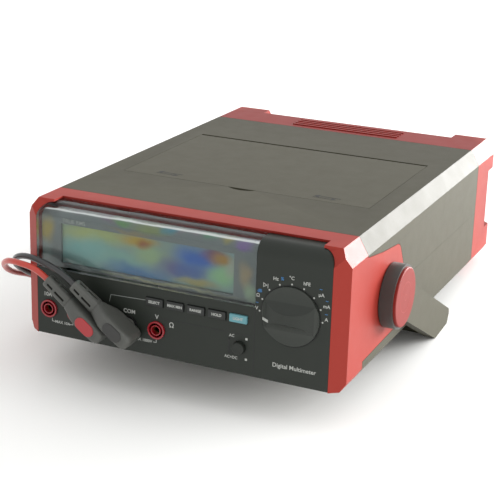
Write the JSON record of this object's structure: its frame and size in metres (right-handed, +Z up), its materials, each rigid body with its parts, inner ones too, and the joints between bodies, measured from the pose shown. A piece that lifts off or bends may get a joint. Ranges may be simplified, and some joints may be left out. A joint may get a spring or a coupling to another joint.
{
  "type": "bench multimeter",
  "caption": "Bench multimeter with a display window, rotary selector, keys, 4 mm sockets with plugged test leads, lidded storage box and a stand handle.",
  "frame": {"origin": "middle of the footprint on the surface it stands on, measured without the test leads", "axes": "+X to the right seen from the front, +Y to the back along the case, +Z up; the case leans back 4.4 degrees on its handle"},
  "size_m": [0.3204, 0.3333, 0.1161],
  "materials": {
    "shell": "fine spark-eroded texture",
    "bezel_red": "fine spark-eroded texture",
    "panel_dark": "fine texture",
    "window_clear": "polished clear acrylic",
    "lcd": "reflective liquid crystal glass",
    "lcd_frame": "smooth",
    "backlight": "frosted light guide",
    "circuit_board": "solder mask",
    "mat_rubber": "silicone",
    "key_dark": "smooth matt",
    "hub_black": "fine texture",
    "key_blue": "smooth matt",
    "jack_red": "smooth",
    "jack_black": "smooth",
    "brass": "machined",
    "steel": "zinc plated",
    "nickel": "nickel plated",
    "bronze": "spring bronze",
    "core_iron": "varnished laminations",
    "winding_tape": "polyester tape",
    "fuse_ceramic": "glazed",
    "cell_jacket": "foil label",
    "acetal": "natural acetal",
    "tray_dark": "fine texture",
    "foot_rubber": "moulded",
    "plug_grey": "soft matt moulding",
    "inlay_red": "matt",
    "inlay_black": "matt",
    "lead_red": "silicone",
    "lead_black": "silicone",
    "probe_red": "moulded",
    "probe_black": "moulded",
    "print_white": "screen-printed ink",
    "print_blue": "screen-printed ink"
  },
  "bodies": {
    "root": {"acdc_switch": "acetal", "battery_cells": "cell_jacket", "battery_cover": "shell", "black_coil": "lead_black", "black_cord": "lead_black", "black_plug": "plug_grey", "black_plug_inlay": "inlay_black", "black_probe": "probe_black", "bottom_shell": "shell", "case_screws": "steel", "detent_ring": "acetal", "display_window": "window_clear", "front_bezel": "bezel_red", "front_board": "circuit_board", "front_panel": "panel_dark", "input_fuses": "fuse_ceramic", "jack_10a": "jack_red", "jack_com": "jack_black", "jack_contacts": "brass", "jack_ma": "jack_red", "jack_temperature": "jack_red", "jack_volt": "jack_red", "key_mat": "mat_rubber", "lcd_backlight": "backlight", "lcd_frame": "lcd_frame", "lcd_glass": "lcd", "lead_metal": "nickel", "lid_hinge_pins": "steel", "main_board": "circuit_board", "mains_inlet": "panel_dark", "pivot_bolts": "steel", "pivot_bushes": "brass", "power_switch": "panel_dark", "rear_bezel": "bezel_red", "rear_panel": "panel_dark", "red_coil": "lead_red", "red_cord": "lead_red", "red_plug": "plug_grey", "red_plug_inlay": "inlay_red", "red_probe": "probe_red", "rubber_feet": "foot_rubber", "storage_tray": "tray_dark", "top_shell": "shell", "transformer_core": "core_iron", "transformer_windings": "winding_tape"},
    "handle_body": {"handle": "shell", "hub_rings": "hub_black", "hub_caps": "bezel_red"},
    "selector_body": {"selector_knob": "panel_dark", "selector_shaft": "steel", "selector_rotor": "acetal", "rotor_wipers": "bronze"},
    "button_body": {"acdc_button": "key_dark"},
    "lid_body": {"storage_lid": "shell"},
    "rocker_body": {"power_rocker": "key_dark"},
    "key_select_body": {"key_select": "key_dark"},
    "key_max_min_body": {"key_max_min": "key_dark"},
    "key_range_body": {"key_range": "key_dark"},
    "key_hold_body": {"key_hold": "key_dark"},
    "key_light_body": {"key_light": "key_blue"}
  },
  "joints": [
    {"name": "handle_pivot", "type": "hinge", "parent": "root", "child": "handle_body", "pos_m": [0, -0.07799, 0.06278], "axis": [1, 0, 0], "range_deg": [-120, 0]},
    {"name": "selector_turn", "type": "hinge", "parent": "root", "child": "selector_body", "pos_m": [0.0737, -0.15194, 0.07288], "axis": [0, -0.9971, 0.0767], "range_deg": [-183.5, 0]},
    {"name": "acdc_press", "type": "slide", "parent": "root", "child": "button_body", "axis": [0, 0.9971, -0.0767], "range_m": [0, 0.002], "stiffness_N_per_m": 250, "springref_m": -0.001},
    {"name": "lid_hinge", "type": "hinge", "parent": "root", "child": "lid_body", "pos_m": [0, 0.05297, 0.09894], "axis": [-1, 0, 0], "range_deg": [0, 95]},
    {"name": "power_rock", "type": "hinge", "parent": "root", "child": "rocker_body", "pos_m": [-0.02, 0.12805, 0.04241], "axis": [1, 0, 0], "range_deg": [0, 18]},
    {"name": "key_select_press", "type": "slide", "parent": "root", "child": "key_select_body", "axis": [0, 0.9971, -0.0767], "range_m": [0, 0.0008], "stiffness_N_per_m": 400, "springref_m": -0.001},
    {"name": "key_max_min_press", "type": "slide", "parent": "root", "child": "key_max_min_body", "axis": [0, 0.9971, -0.0767], "range_m": [0, 0.0008], "stiffness_N_per_m": 400, "springref_m": -0.001},
    {"name": "key_range_press", "type": "slide", "parent": "root", "child": "key_range_body", "axis": [0, 0.9971, -0.0767], "range_m": [0, 0.0008], "stiffness_N_per_m": 400, "springref_m": -0.001},
    {"name": "key_hold_press", "type": "slide", "parent": "root", "child": "key_hold_body", "axis": [0, 0.9971, -0.0767], "range_m": [0, 0.0008], "stiffness_N_per_m": 400, "springref_m": -0.001},
    {"name": "key_light_press", "type": "slide", "parent": "root", "child": "key_light_body", "axis": [0, 0.9971, -0.0767], "range_m": [0, 0.0008], "stiffness_N_per_m": 400, "springref_m": -0.001}
  ]
}
